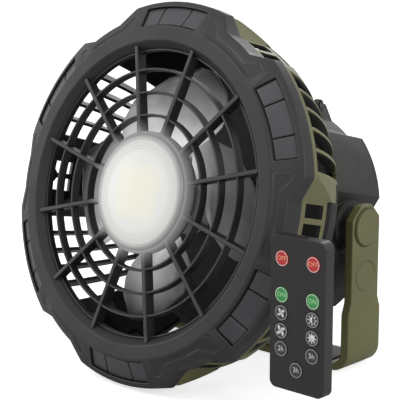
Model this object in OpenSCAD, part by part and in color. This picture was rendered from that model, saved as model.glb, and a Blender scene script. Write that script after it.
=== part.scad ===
// Portable camping fan: a lobed front bezel and grille round a lamp, a vented
// side shell, a battery housing on a U bracket, and a card remote.
// The origin is the middle of the bracket's base, +Z is up, the fan blows along -Y.
// Depths in the head are measured back from the foremost plane of the bezel.

/* [Stand] */
// Angle that the head leans back at rest
head_tilt = 13.5; // [10:0.5:16]
// Clear width between the bracket's arms
arm_gap = 151.8; // [151:0.2:158]
// Thickness of each arm
arm_t = 5.5; // [4.5:0.1:7]
// Width of an arm at the pivot
arm_w = 26; // [24:0.5:30]
// Height of an arm above the pivot
arm_top = 13; // [12:0.5:16]
// Width of the base, front to back
base_w = 31; // [27:0.5:35]
// Thickness of the base
base_t = 4; // [3:0.1:4.4]

/* [Bezel] */
// Outer radius at the lobes
bezel_r = 109.5; // [107:0.5:112]
// Outer radius between the lobes
valley_r = 102; // [101:0.5:104]
// Inner radius of the throat
throat_r = 82; // [81:0.5:83]
// Depth of the bezel
bezel_d = 17.5; // [16:0.5:20]
// Depth of the sloping face at the lobes' rim
face_drop = 9.3; // [7:0.1:10]
// Wall thickness of the rim
rim_wall = 3; // [2.4:0.1:3.4]
// Depth of the windows in the face
window_depth = 3.2; // [2.6:0.1:3.6]
// Depth of the panels between the lobes
panel_depth = 0.7; // [0.4:0.1:1]

/* [Grille] */
// Number of spokes
spokes = 12; // [10:2:14]
// Width of a spoke
spoke_w = 2.4; // [1.8:0.1:3]
// Depth of a spoke
spoke_d = 7; // [5:0.5:8]
// Radius of the inner ring
ring_1 = 43.8; // [42:0.2:46]
// Radius of the middle ring
ring_2 = 56.8; // [55:0.2:59]
// Radius of the outer ring
ring_3 = 69.8; // [68:0.2:72]
// Depth of a ring
ring_d = 5.4; // [4:0.2:6]

/* [Lamp] */
// Outer radius of the lamp housing
lamp_r = 32.8; // [31:0.2:34]
// Radius of the lens
lens_r = 29; // [27:0.2:29.4]
// Depth of the lamp housing behind the bezel's foremost plane
lamp_d = 12; // [11:0.5:14]

/* [Vent shell] */
// Depth at which the vent shell ends
shell_d = 80; // [76:0.5:84]
// Radius of the vent shell at its rear ring
shell_rear_r = 78; // [77:0.5:80]
// Fins in each lobe
fins = 4; // [3:1:4]
// Thickness of a fin
fin_t = 2; // [1.6:0.1:2.4]
// Height of a fin, measured inwards
fin_h = 7; // [5:0.5:9]
// Thickness of the shell's skin
skin = 2.5; // [2:0.1:3]

/* [Housing] */
// Radius of the battery housing at its lobes
housing_r = 72.5; // [70:0.5:74]
// Radius of the battery housing between its lobes
housing_valley_r = 65.5; // [64:0.5:67]
// Depth of the head, bezel to rear cover
head_d = 133.5; // [130:0.5:137]
// Depth of the pivot behind the bezel's foremost plane
pivot_d = 107.5; // [105:0.5:110]
// Wall thickness of the housing
housing_wall = 2.5; // [2:0.1:3]
// Thickness of the rear cover
cover_t = 3; // [2.6:0.1:3.4]

/* [Impeller] */
// Number of blades
blades = 4; // [3:1:5]
// Radius at the blade tips
tip_r = 75.5; // [72:0.5:76]
// Radius of the hub
hub_r = 21; // [19:0.5:23]
// Thickness of a blade
blade_t = 1.6; // [1.2:0.1:2]

/* [Hook] */
// Radius of the hook's wire
wire_r = 1.6; // [1.4:0.1:1.8]
// Half width of the hook
hook_half = 19; // [16:0.5:22]
// Length of the hook from its pivot
hook_len = 30; // [24:0.5:31]

/* [Remote] */
// Width of the remote
remote_w = 35; // [34:0.5:42]
// Height of the remote
remote_h = 80.7; // [80:0.1:90]
// Thickness of the remote
remote_t = 7; // [6.8:0.1:8]
// Radius of a key
key_r = 4.1; // [3.6:0.1:4.2]
// Distance from one row of keys to the next
key_pitch = 9.5; // [9.4:0.1:10]
// Height at which the remote is held above the ground
remote_lift = 23.3; // [0:0.1:40]

/* [Hidden] */
$fn = 96;
lobes = 6;
far = 400;

// Clearances
slip = 0.3;
shaft_fit = 0.05;
press_fit = 0.02;

// Bezel
crest_in = throat_r + 4;
crest_out = throat_r + 11;
crest_d = 4.5;
lip_d = 8.5;
face_wall = 5.6;
lobe_half = 18;
lobe_foot = 24;
window_in = crest_out + 1.8;
window_out = bezel_r - 3.2;
window_half = 12.7;
pad_split = 5.6;
pad_t = 1.6;
pad_gap = 0.3;
panel_half = 13.4;
panel_tip_r = 103.1;
boss_at = 95.5;
boss_r = 4;
screw_r = 1.45;
screw_head_r = 2.6;
screw_head_t = 2;

// Grille
grille_d = 1.4;
ring_front_d = 1.8;
ring_w = 1.7;
seat_w = 1.2;

// Lamp
lamp_front = -0.6;
lamp_wall = 2;
lens_dome = 1.4;
lens_t = 2.4;
lamp_board_d = 7;
lamp_board_t = 1.6;
emitter_r = 19;
emitter_t = 1.2;

// Vent shell
band_d = 4.5;
band_in = 1.3;
slot_start = bezel_d + band_d;
slot_end = shell_d - 4;
slot_half = 15.75;
ladder_half = 5.2;
ladder_rung = 0.9;
ladder_end = 38;
sash_end = 55;
sash_narrow = 6.5;
sash_wide = 13.1;
lug_t = 2.5;
strut_inset = 0.6;
fin_sink = 0.15;

// Housing
housing_d = head_d - cover_t;
front_wall = 2.5;
housing_lobe_half = 15.5;
housing_foot = 23.5;
boss_out = arm_gap / 2 - 1;
boss_step = 5;
pivot_boss_r = 14;
pivot_neck_r = 11.5;
bolt_r = 3;
bolt_head_r = 6;
bolt_head_t = 2.8;
nut_t = 3;
bolt_in = housing_valley_r - housing_wall - 0.6;
washer_t = 0.8;
cap_r = 11.4;
cap_t = 1.6;

// Motor
motor_r = 18;
motor_front = 58;
motor_end = shell_d + 4;
cup_wall = 2.3;
shaft_r = 1.6;
bearing_r = 6;
motor_screw_at = 11;

// Battery and boards
cell_r = 9.2;
cell_len = 65;
cell_pitch = 19.3;
tray_d = shell_d + front_wall + 4;
tray_t = 2;
cell_d = tray_d + tray_t + cell_r + slip;
board_d = housing_d - 12.5;
board_t = 1.6;
board_w = 76;
board_low = -46;
board_high = 34;
post_r = 3;
post_x = 33;
cover_screw_at = housing_valley_r - 5;

// Rear controls
button_r = 7.9;
button_x = 15;
button_z = 14;
button_proud = 1.6;
button_travel = 0.8;
flange_t = 1.8;
light_r = 1.1;
light_pitch = 6;
light_z = -6;
port_z = -34;
charge_x = -9;
output_x = 9;
charge_size = [9.2, 3.3];
output_size = [13.2, 5.7];
flap_size = [39.4, 13.4];
flap_t = 2;
flap_barrel_r = 1.5;
flap_pin_r = 0.8;
flap_hinge_z = port_z - flap_size.y / 2 - 1.8;
flap_hinge_d = head_d + flap_barrel_r + 0.2;

// Hook
hook_d = head_d - 13.5;
hook_floor = 66.5;
hook_z = hook_floor + wire_r + slip;
lug_w = 3.8;
lug_r = 3.4;
lug_low = housing_valley_r - 4;
hook_bend = 8;

// Impeller
hub_front = 19;
hub_back = 44;
hub_wall = 2;
// A blade's leading edge, its fall per degree round the hub, and how far its root steps back behind the lamp
blade_front = 13;
blade_front_angle = 34;
blade_fall = 0.235;
blade_root_step = 8;
blade_camber = 2;
blade_phase = 12;
stations = 8;
steps = 8;

// Remote
remote_at = [120.5, -5 - pivot_d, remote_lift];
remote_corner = 4;
remote_wall = 1.5;
face_t = 1;
key_x = 10;
key_top = 11.8;
key_proud = 0.35;
key_flange = 0.45;
key_flange_t = 0.6;
key_gap = 0.2;
remote_board_y = 2.4;
remote_board_t = 0.8;
tray_w = 22;
tray_len = 23;
tray_y = remote_board_y + remote_board_t + 0.2;
coin_r = 9.6;
coin_t = 1.6;
eye_w = 5;

// The bezel's rim and the base both stand on the ground
pivot_h = bezel_r * cos(head_tilt) - (pivot_d - bezel_d) * sin(head_tilt);

// Keys of the remote: name, column and row
KEYS = [
    ["key_wind_off", -1, 0], ["key_lamp_off", 1, 0],
    ["key_wind_on", -1, 2], ["key_lamp_on", 1, 2],
    ["key_wind_low", -1, 3], ["key_lamp_low", 1, 3],
    ["key_wind_high", -1, 4], ["key_lamp_high", 1, 4],
    ["key_2h", -1, 5], ["key_5h", 1, 5], ["key_3h", 0, 6]
];

charcoal = "#4a4a4c";
olive = "#6b6b47";
grey = "#7d7d7b";
black = "#232324";
steel = "#b9bbbd";

// ---- Helpers ----

function polar(r, a) = [r * cos(a), r * sin(a)];
function flip(p) = [p.x, -p.y];

function bezier(p, t) =
    pow(1 - t, 3) * p[0] + 3 * t * pow(1 - t, 2) * p[1] + 3 * t * t * (1 - t) * p[2] + pow(t, 3) * p[3];

// Depth of the bezel's sloping face at a radius
function face_at(r) = max(0, (r - crest_out) * face_drop / (bezel_r - crest_out));

// The head's own frame has its origin on the pivot axis
module head() translate([0, 0, pivot_h]) rotate([-head_tilt, 0, 0]) children();

// Frame on the blowing axis: +Z points forward, z = -depth
module axial() head() translate([0, -pivot_d, 0]) rotate([90, 0, 0]) children();

module slab(d1, d2) translate([0, 0, -d2]) linear_extrude(d2 - d1) children();

module tube(d1, d2, r) slab(d1, d2) circle(r = r);

// Plate in the plane through the axis at an angle, drawn as [radius, -depth]
module radial_plate(a, t) rotate([0, 0, a]) rotate([90, 0, 0]) linear_extrude(t, center = true) children();

module wedge(a1, a2, r = far) polygon([[0, 0], polar(r, a1), polar(r, (a1 + a2) / 2), polar(r, a2)]);

// Circle with six wider lobes. Each lobe's flanks run on past both circles that end them.
module lobed(rl, rv, half = lobe_half, foot = lobe_foot) {
    run_on = 0.3 * (polar(rl, half) - polar(rv, foot));
    rotate(30) circle(r = rv);
    for (k = [0 : lobes - 1])
        rotate(k * 360 / lobes + 30)
            intersection() {
                circle(r = rl);
                polygon([
                    [0, 0], flip(polar(rv, foot) - run_on), flip(polar(rl, half) + run_on), polar(rl * 1.3, -half / 2),
                    polar(rl * 1.3, half / 2), polar(rl, half) + run_on, polar(rv, foot) - run_on
                ]);
            }
}

module annulus(r_out, r_in) difference() {
    circle(r = r_out);
    circle(r = r_in);
}

// Everything in front of the surface that lies t behind the bezel's face
module face_layer(t) rotate_extrude() polygon([
    [crest_out - 1, 1], [bezel_r + 2, 1],
    [bezel_r + 2, -face_at(bezel_r + 2) - t], [crest_out, -t], [crest_out - 1, -t]
]);

module rounded_square(w, h, r) {
    translate([-w / 2 + r, 0]) square([w - 2 * r, h]);
    translate([-w / 2, r]) square([w, h - 2 * r]);
    for (x = [-1, 1], y = [r, h - r])
        translate([x * (w / 2 - r), y]) circle(r = r);
}

// ---- Stand ----

module u_outline(w, low, high, r) {
    translate([-w / 2, low + r]) square([w, high - low - r]);
    translate([-w / 2 + r, low]) square([w - 2 * r, r]);
    for (x = [-1, 1])
        translate([x * (w / 2 - r), low + r]) circle(r = r);
}

module bracket() {
    outer_w = arm_gap + 2 * arm_t;
    top = pivot_h + arm_top;
    flare_low = 35;
    flare_high = 42;
    cut = arm_w / 2 - 5;
    mark_r = 9;
    mark_drop = 29;
    mark_t = 0.35;
    color(olive) difference() {
        union() {
            intersection() {
                rotate([90, 0, 0]) linear_extrude(base_w, center = true) difference() {
                    u_outline(outer_w, 0, top, 12);
                    u_outline(arm_gap, base_t, top + 1, 8);
                }
                rotate([90, 0, 90]) linear_extrude(outer_w + 2, center = true) polygon([
                    [-base_w / 2, 0], [base_w / 2, 0], [base_w / 2, flare_low], [arm_w / 2, flare_high],
                    [arm_w / 2, top - cut], [arm_w / 2 - cut, top], [cut - arm_w / 2, top],
                    [-arm_w / 2, top - cut], [-arm_w / 2, flare_high], [-base_w / 2, flare_low]
                ]);
            }
            for (s = [-1, 1])
                translate([s * (outer_w / 2 - 1), 0, pivot_h - mark_drop])
                    rotate([0, s * 90, 0]) cylinder(r = mark_r, h = 1 + mark_t);
        }
        translate([0, 0, pivot_h]) rotate([0, 90, 0])
            cylinder(r = bolt_r + shaft_fit, h = outer_w + 2, center = true);
        for (s = [-1, 1])
            translate([s * (outer_w / 2 - bolt_head_t - slip), 0, pivot_h]) rotate([0, s * 90, 0])
                cylinder(r = bolt_head_r + shaft_fit, h = bolt_head_t + 1);
    }
}

// Grey pad that lies inside the bracket on its base
module base_insert() {
    pad = [arm_gap - 20, 23, 1.2];
    color(grey) translate([0, -1, base_t]) translate([-pad.x / 2, -pad.y / 2, 0]) cube(pad);
}

module pivot_pair() for (s = [-1, 1]) translate([0, 0, pivot_h]) rotate([0, s * 90, 0]) children();

module pivot_bolts() {
    head_at = arm_gap / 2 + arm_t - bolt_head_t - slip;
    color(steel) pivot_pair() {
        translate([0, 0, bolt_in - nut_t]) cylinder(r = bolt_r, h = head_at - bolt_in + nut_t);
        translate([0, 0, head_at]) cylinder(r = bolt_head_r, h = bolt_head_t);
    }
}

module pivot_nuts() color(steel) pivot_pair() translate([0, 0, bolt_in - nut_t]) difference() {
    cylinder(r = 5.8, h = nut_t, $fn = 6);
    translate([0, 0, -1]) cylinder(r = bolt_r, h = nut_t + 2);
}

module pivot_caps() color(olive) pivot_pair() translate([0, 0, arm_gap / 2 + arm_t]) rotate_extrude()
    polygon([[0, 0], [cap_r, 0], [cap_r, cap_t - 0.6], [cap_r - 0.9, cap_t], [0, cap_t]]);

module friction_washers() color(black) pivot_pair() translate([0, 0, boss_out + 0.1]) difference() {
    cylinder(r = pivot_neck_r - 1, h = washer_t);
    translate([0, 0, -1]) cylinder(r = bolt_r + shaft_fit, h = washer_t + 2);
}

// ---- Bezel and grille ----

module window_outline(grow = 0) intersection() {
    annulus(window_out + grow, window_in - grow);
    for (k = [0 : lobes - 1]) rotate(k * 60 + 30) wedge(-window_half, window_half);
}

// Arrow-shaped panel that runs from lobe to lobe across each valley
module panel_outline() for (k = [0 : lobes - 1]) rotate(k * 60) difference() {
    polygon(concat(
        [polar(window_in - 2, -panel_half), polar(panel_tip_r, -panel_half), polar(panel_tip_r, 2.1 - panel_half)],
        [for (a = [-7.5 : 2.5 : 7.5]) polar(valley_r - 4.6, a)],
        [polar(panel_tip_r, panel_half - 2.1), polar(panel_tip_r, panel_half), polar(window_in - 2, panel_half)]
    ));
    circle(r = window_in);
}

module front_bezel() color(charcoal) axial() difference() {
    intersection() {
        slab(0, bezel_d) lobed(bezel_r, valley_r);
        rotate_extrude() polygon([
            [throat_r, -crest_d], [crest_in, 0], [crest_out, 0],
            [bezel_r + 1, -face_at(bezel_r + 1)], [bezel_r + 1, -bezel_d - 1],
            [throat_r + 0.5, -bezel_d - 1], [throat_r, -lip_d]
        ]);
    }
    difference() {
        intersection() {
            slab(crest_d, bezel_d + 1) lobed(bezel_r - rim_wall, valley_r - rim_wall);
            rotate_extrude() polygon([
                [0, -lip_d], [crest_in - 1.5, -lip_d], [crest_in, -face_wall], [crest_out, -face_wall],
                [bezel_r + 1, -face_at(bezel_r + 1) - face_wall], [bezel_r + 1, -bezel_d - 2], [0, -bezel_d - 2]
            ]);
        }
        for (k = [0 : lobes - 1]) rotate([0, 0, k * 60]) translate([boss_at, 0, 0]) tube(0, bezel_d, boss_r);
    }
    intersection() {
        slab(-1, bezel_d) window_outline();
        face_layer(window_depth);
    }
    intersection() {
        slab(-1, bezel_d) panel_outline();
        face_layer(panel_depth);
    }
    for (k = [0 : lobes - 1]) rotate([0, 0, k * 60]) translate([boss_at, 0, 0])
        tube(bezel_d - 8, bezel_d + 1, screw_r + press_fit);
}

module window_pads() color("#5b5b5d") axial() difference() {
    intersection() {
        slab(-1, bezel_d) intersection() {
            window_outline(-pad_gap);
            for (k = [0 : lobes - 1]) rotate(k * 60 + 30) {
                wedge(-window_half + 0.2, -pad_split - 0.2);
                wedge(-pad_split + 0.2, pad_split - 0.2);
                wedge(pad_split + 0.2, window_half - 0.2);
            }
        }
        face_layer(window_depth);
    }
    face_layer(window_depth - pad_t);
}

module front_grille() color(charcoal) axial() {
    seat_r = throat_r - 0.1;
    seat_mid = seat_r - seat_w / 2;
    for (k = [0 : spokes - 1]) radial_plate(15 + k * 360 / spokes, spoke_w) polygon([
        [lamp_r + 0.8, -grille_d], [throat_r + 2.6, -grille_d], [throat_r + 0.4, -crest_d + 0.6],
        [seat_mid, -crest_d - 0.4], [seat_mid, -lip_d + 0.4], [lamp_r + 0.8, -grille_d - spoke_d]
    ]);
    for (r = [ring_1, ring_2, ring_3]) rotate_extrude() polygon([
        [r - ring_w / 2 + 0.2, -ring_front_d], [r + ring_w / 2 - 0.2, -ring_front_d],
        [r + ring_w / 2, -ring_front_d - ring_d], [r - ring_w / 2, -ring_front_d - ring_d]
    ]);
    slab(crest_d, lip_d) annulus(seat_r, seat_r - seat_w);
    slab(grille_d + 0.2, grille_d + spoke_d - 0.5) annulus(lamp_r + 1.8, lamp_r + press_fit);
}

// ---- Lamp ----

module lamp_housing() color(grey) axial() difference() {
    rotate_extrude() polygon([
        [0, -lamp_d], [lamp_r, -lamp_d], [lamp_r, -lamp_front - 1.2], [lamp_r - 1.2, -lamp_front], [0, -lamp_front]
    ]);
    tube(-1, lamp_d - lamp_wall, lens_r + press_fit);
}

module lamp_lens() color("#f4f2e6") axial() rotate_extrude() polygon(concat(
    [for (i = [0 : 8]) let (r = lens_r * i / 8) [r, -lamp_front + lens_dome * (1 - pow(i / 8, 2))]],
    [[lens_r, -lamp_front - lens_t], [0, -lamp_front - lens_t]]
));

module lamp_board() color(steel) axial() {
    tube(lamp_board_d, lamp_board_d + lamp_board_t, lens_r - slip);
    for (a = [45, 225]) rotate([0, 0, a]) translate([lens_r - 6, 0, 0])
        tube(lamp_board_d + lamp_board_t / 2, lamp_d - lamp_wall, 2.5);
}

module lamp_emitter() color("#e8d98a") axial() tube(lamp_board_d - emitter_t, lamp_board_d, emitter_r);

// ---- Vent shell ----

band_r = bezel_r - band_in;
band_valley_r = valley_r - band_in;
shell_curve = [[band_r + 1, slot_start - 4], [band_r - 4, slot_start + 21], [band_r - 15.2, shell_d - 16],
    [shell_rear_r, shell_d]];
curve_steps = 10;
function shell_edge(inset) = [for (i = [0 : curve_steps]) let (p = bezier(shell_curve, i / curve_steps))
    [p.x - inset, -p.y]];

// The shell's filled outer form, drawn in by an inset
module shell_form(inset) intersection() {
    slab(bezel_d - (inset > 0 ? 1 : 0), shell_d + (inset > 0 ? 1 : 0))
        lobed(band_r - inset, band_valley_r - inset);
    rotate_extrude() polygon(concat(
        [[0, 1 - bezel_d], [band_r - inset + 1, 1 - bezel_d]], shell_edge(inset),
        [[shell_rear_r - inset, -shell_d - 1], [0, -shell_d - 1]]
    ));
}

module shell_skin(inset, t) difference() {
    shell_form(inset);
    shell_form(inset + t);
}

module in_valleys() for (k = [0 : lobes - 1]) rotate(k * 60) children();

// The stretch of each valley that belongs to the struts
module strut_zone(d_end, trim = 0) {
    slab(ladder_end + 3 + trim, d_end) in_valleys() wedge(-sash_narrow + trim / 3, sash_narrow - trim / 3);
    slab(sash_end + trim, d_end) in_valleys() wedge(-sash_wide + trim / 3, sash_wide - trim / 3);
}

module fin() polygon(concat(
    [for (p = shell_edge(fin_sink)) [min(p.x, band_r - fin_sink), p.y]],
    [for (i = [curve_steps : -1 : 0]) shell_edge(fin_h)[i]]
));

module vent_shell() color(olive) axial() {
    difference() {
        shell_skin(0, skin);
        slab(slot_start, slot_end) for (k = [0 : lobes - 1]) rotate(k * 60 + 30) wedge(-slot_half, slot_half);
        slab(slot_start + 0.5, ladder_end) in_valleys() {
            wedge(ladder_rung, ladder_half);
            wedge(-ladder_half, -ladder_rung);
        }
        strut_zone(slot_end);
    }
    for (k = [0 : lobes - 1], i = [0 : fins - 1])
        radial_plate(k * 60 + 30 + (i - (fins - 1) / 2) * 2 * slot_half / (fins + 1), fin_t) fin();
    for (k = [0 : lobes - 1]) rotate([0, 0, k * 60]) difference() {
        slab(bezel_d + 0.1, bezel_d + lug_t) {
            translate([boss_at, 0]) circle(r = boss_r + 0.5);
            translate([boss_at, -boss_r - 0.5]) square([band_valley_r - skin - boss_at + 0.5, 2 * boss_r + 1]);
        }
        translate([boss_at, 0, 0]) tube(bezel_d - 1, bezel_d + lug_t + 1, screw_r + shaft_fit);
    }
}

// Dark struts that carry the shell's valleys back to its rear ring
module vent_struts() color(black) axial() intersection() {
    shell_skin(strut_inset, skin + 1);
    strut_zone(slot_end, 0.1);
}

module shell_screws() color(steel) axial() for (k = [0 : lobes - 1])
    rotate([0, 0, k * 60]) translate([boss_at, 0, 0]) {
        tube(bezel_d - 7, bezel_d + lug_t, screw_r);
        tube(bezel_d + lug_t, bezel_d + lug_t + screw_head_t, screw_head_r);
    }

// ---- Battery housing ----

module housing_outline(inset = 0)
    lobed(housing_r - inset, housing_valley_r - inset, housing_lobe_half, housing_foot);

// Solids on the pivot axis, from the middle outwards
module on_pivot(x1, x2, r) head() for (s = [-1, 1])
    translate([s * x1, 0, 0]) rotate([0, s * 90, 0]) cylinder(r = r, h = x2 - x1);

module hook_lug(x) head() translate([x, hook_d - pivot_d, 0]) {
    translate([-lug_w / 2, -lug_r, lug_low]) cube([lug_w, 2 * lug_r, hook_z - lug_low]);
    translate([-lug_w / 2, 0, hook_z]) rotate([0, 90, 0]) cylinder(r = lug_r, h = lug_w);
}

// The step in the top lobe that the hook folds into, drawn out by a wall
module hook_step(wall = 0)
    slab(hook_d - hook_len - wire_r - 1 - wall, hook_d + 5 + wall) translate([-housing_r, hook_floor - wall])
        square([2 * housing_r, housing_r]);

module rear_housing() color(charcoal) difference() {
    union() {
        axial() {
            difference() {
                slab(shell_d, housing_d) housing_outline();
                hook_step();
            }
            tube(shell_d, shell_d + front_wall, shell_rear_r - 0.5);
            tube(motor_front - 2, shell_d + 1, motor_r + cup_wall);
        }
        on_pivot(housing_valley_r - 5, boss_out - boss_step, pivot_boss_r);
        on_pivot(boss_out - boss_step - 1, boss_out, pivot_neck_r);
        for (s = [-1, 1]) hook_lug(s * (hook_half + lug_w / 2 + wire_r + 0.2));
    }
    axial() {
        difference() {
            slab(shell_d + front_wall, housing_d + 1) housing_outline(housing_wall);
            hook_step(housing_wall);
            for (x = [-1, 1], y = [-1, 1]) translate([x * 28, y * 28, 0]) tube(shell_d, tray_d, post_r);
        }
        tube(motor_front, shell_d + front_wall + 1, motor_r + press_fit);
        tube(motor_front - 3, motor_front + 1, bearing_r);
        for (a = [90, 270]) rotate([0, 0, a]) translate([motor_screw_at, 0, 0])
            tube(motor_front - 3, motor_front + 1, 1.25 + shaft_fit);
    }
    on_pivot(bolt_in - 5, boss_out + 1, bolt_r + shaft_fit);
    head() translate([0, hook_d - pivot_d, hook_z]) rotate([0, 90, 0])
        cylinder(r = wire_r + shaft_fit, h = 4 * hook_half, center = true);
}

module port_holes(grow) for (p = [[charge_x, charge_size], [output_x, output_size]])
    translate([p[0], port_z]) translate(-p[1] / 2 - [grow, grow]) square(p[1] + 2 * [grow, grow]);

module rear_cover() color(charcoal) axial() difference() {
    union() {
        slab(housing_d, head_d - 1) housing_outline();
        slab(head_d - 1, head_d) housing_outline(1);
        for (x = [-post_x, post_x], y = [board_low + 5, board_high - 5]) translate([x, y, 0])
            tube(board_d + board_t, housing_d, post_r);
        for (s = [-1, 1]) translate([s * (flap_size.x / 2 - 2), flap_hinge_z, 0]) {
            translate([-1.5, -1.5, -flap_hinge_d]) cube([3, 3, flap_hinge_d - head_d + 1]);
            translate([-1.5, 0, -flap_hinge_d]) rotate([0, 90, 0]) cylinder(r = 1.5, h = 3);
        }
    }
    slab(housing_d - 1, head_d + 1) {
        for (x = [-button_x, button_x]) translate([x, button_z]) circle(r = button_r + 0.2);
        for (i = [-1.5 : 1.5]) translate([i * light_pitch, light_z]) circle(r = light_r + press_fit);
        port_holes(press_fit);
        for (k = [0 : lobes - 1]) rotate(k * 60) translate([cover_screw_at, 0]) circle(r = 1.5 + shaft_fit);
    }
    translate([0, flap_hinge_z, -flap_hinge_d]) rotate([0, 90, 0])
        cylinder(r = flap_pin_r + shaft_fit, h = far, center = true);
}

module cover_screws() color(steel) axial() for (k = [0 : lobes - 1])
    rotate([0, 0, k * 60]) translate([cover_screw_at, 0, 0]) {
        tube(housing_d - 6, head_d, 1.5);
        tube(head_d, head_d + 1.4, 2.8);
    }

module motor_can() color(steel) axial() difference() {
    union() {
        tube(motor_front, motor_end, motor_r);
        tube(motor_front - 2, motor_front, bearing_r - slip);
    }
    tube(motor_front - 3, motor_end - 4, shaft_r + shaft_fit);
    for (a = [90, 270]) rotate([0, 0, a]) translate([motor_screw_at, 0, 0])
        tube(motor_front - 1, motor_front + 5, 1.25);
}

module motor_screws() color(steel) axial() for (a = [90, 270]) rotate([0, 0, a])
    translate([motor_screw_at, 0, 0]) {
        tube(motor_front - 2, motor_front + 4, 1.25);
        tube(motor_front - 3.6, motor_front - 2, 2.4);
    }

// ---- Battery and boards ----

module battery_tray() {
    plate = [cell_len + 6, 4 * cell_pitch];
    end_h = cell_r * 1.2;
    color(black) axial() difference() {
        slab(tray_d, tray_d + tray_t + end_h) translate(-plate / 2) square(plate);
        slab(tray_d + tray_t, tray_d + tray_t + end_h + 1)
            translate([-cell_len / 2 - slip, -plate.y]) square([cell_len + 2 * slip, 2 * plate.y]);
    }
}

module battery_cells() color("#3b6ea5") axial() for (i = [-1.5 : 1.5])
    translate([0, i * cell_pitch, -cell_d]) rotate([0, 90, 0]) cylinder(r = cell_r, h = cell_len, center = true);

module control_board() color("#2f5d3a") axial() slab(board_d, board_d + board_t)
    translate([-board_w / 2, board_low]) square([board_w, board_high - board_low]);

module board_switches() {
    top = housing_d - slip - flange_t - 2.4 - button_travel - 0.2;
    color(black) axial() for (x = [-button_x, button_x]) translate([x, button_z, 0]) {
        slab(board_d + board_t, top - 1) square(6, center = true);
        tube(top - 1, top, 1.7);
    }
}

module port_shell(x, size) color(steel) axial() translate([x, port_z, 0]) difference() {
    slab(board_d + board_t, head_d - 0.5) square(size, center = true);
    slab(head_d - 7, head_d) square(size - [1, 1], center = true);
}

module charge_port() port_shell(charge_x, charge_size);

module output_port() port_shell(output_x, output_size);

module charge_lights() color("#9fd3e8") axial() for (i = [-1.5 : 1.5])
    translate([i * light_pitch, light_z, 0]) tube(board_d + board_t, head_d + 0.2, light_r);

module port_flap() {
    lap = flap_size.x / 2 - 4;
    color(black) axial() {
        translate([-flap_size.x / 2, port_z - flap_size.y / 2, -head_d - 0.2 - flap_t])
            cube([flap_size.x, flap_size.y, flap_t]);
        translate([-lap, flap_hinge_z, -head_d - 0.2 - flap_t]) cube([2 * lap, 2.4, flap_t]);
        translate([-lap, flap_hinge_z, -flap_hinge_d]) rotate([0, 90, 0]) cylinder(r = flap_barrel_r, h = 2 * lap);
        translate([0, flap_hinge_z, -flap_hinge_d]) rotate([0, 90, 0])
            cylinder(r = flap_pin_r, h = 2 * lap + 6, center = true);
    }
}

module push_button(x, c) {
    back = housing_d - slip;
    color(c) axial() translate([x, button_z, 0]) {
        tube(back - flange_t, back, button_r + 1.2);
        tube(back - flange_t - 2.4, back - flange_t, 2);
        tube(back, head_d + button_proud, button_r);
    }
}

module fan_button() push_button(-button_x, "#3d3d40");

module lamp_button() push_button(button_x, "#e9e7da");

// ---- Hook ----

module hook() color(steel) head() translate([0, hook_d - pivot_d, hook_z]) {
    for (s = [-1, 1]) {
        translate([s * (hook_half - wire_r), 0, 0]) rotate([0, s * 90, 0])
            cylinder(r = wire_r, h = lug_w + 2.5 * wire_r);
        translate([s * hook_half, 0, 0]) rotate([90, 0, 0]) cylinder(r = wire_r, h = hook_len - hook_bend);
        translate([s * (hook_half - hook_bend), hook_bend - hook_len, 0]) rotate([0, 0, s > 0 ? -90 : 180])
            rotate_extrude(angle = 90) translate([hook_bend, 0]) circle(r = wire_r);
    }
    translate([0, -hook_len, 0]) rotate([0, 90, 0])
        cylinder(r = wire_r, h = 2 * (hook_half - hook_bend), center = true);
}

// ---- Impeller ----

// Angles of a blade's two edges at a share of the span
function edge_cw(u) = lookup(u, [[0, -28], [0.3, -40], [0.54, -43], [0.72, -41], [0.86, -36], [1, -26]]);
function edge_ccw(u) = lookup(u, [[0, 26], [0.3, 36], [0.54, 33], [0.72, 19], [0.86, -3], [1, -19]]);

function blade_point(u, v, side) =
    let (r = hub_r - 0.6 + u * (tip_r - hub_r + 0.6),
         a = edge_cw(u) + v * (edge_ccw(u) - edge_cw(u)),
         fall = (blade_front_angle - a) * blade_fall,
         root = blade_root_step * max(0, 1 - u / 0.3),
         d = blade_front + fall + root - blade_camber * sin(180 * v) + side * blade_t / 2)
    [r * cos(a), r * sin(a), -d];

function station_u(j) = [0, 0.15, 0.3, 0.42, 0.54, 0.72, 0.86, 1][j];

module blade() {
    n = steps + 1;
    points = [for (side = [1, -1], j = [0 : stations - 1], i = [0 : steps])
        blade_point(station_u(j), i / steps, side)];
    half = stations * n;
    function at(side, j, i) = side * half + j * n + i;
    faces = concat(
        [for (j = [0 : stations - 2], i = [0 : steps - 1])
            each [[at(0, j, i), at(0, j + 1, i), at(0, j + 1, i + 1)], [at(0, j, i), at(0, j + 1, i + 1), at(0, j, i + 1)]]],
        [for (j = [0 : stations - 2], i = [0 : steps - 1])
            each [[at(1, j, i), at(1, j + 1, i + 1), at(1, j + 1, i)], [at(1, j, i), at(1, j, i + 1), at(1, j + 1, i + 1)]]],
        [for (i = [0 : steps - 1])
            each [[at(0, 0, i), at(0, 0, i + 1), at(1, 0, i + 1)], [at(0, 0, i), at(1, 0, i + 1), at(1, 0, i)]]],
        [for (i = [0 : steps - 1], m = [stations - 1])
            each [[at(0, m, i), at(1, m, i + 1), at(0, m, i + 1)], [at(0, m, i), at(1, m, i), at(1, m, i + 1)]]],
        [for (j = [0 : stations - 2])
            each [[at(0, j, 0), at(1, j + 1, 0), at(0, j + 1, 0)], [at(0, j, 0), at(1, j, 0), at(1, j + 1, 0)]]],
        [for (j = [0 : stations - 2])
            each [[at(0, j, steps), at(0, j + 1, steps), at(1, j + 1, steps)],
                [at(0, j, steps), at(1, j + 1, steps), at(1, j, steps)]]]
    );
    polyhedron(points, faces);
}

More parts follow.
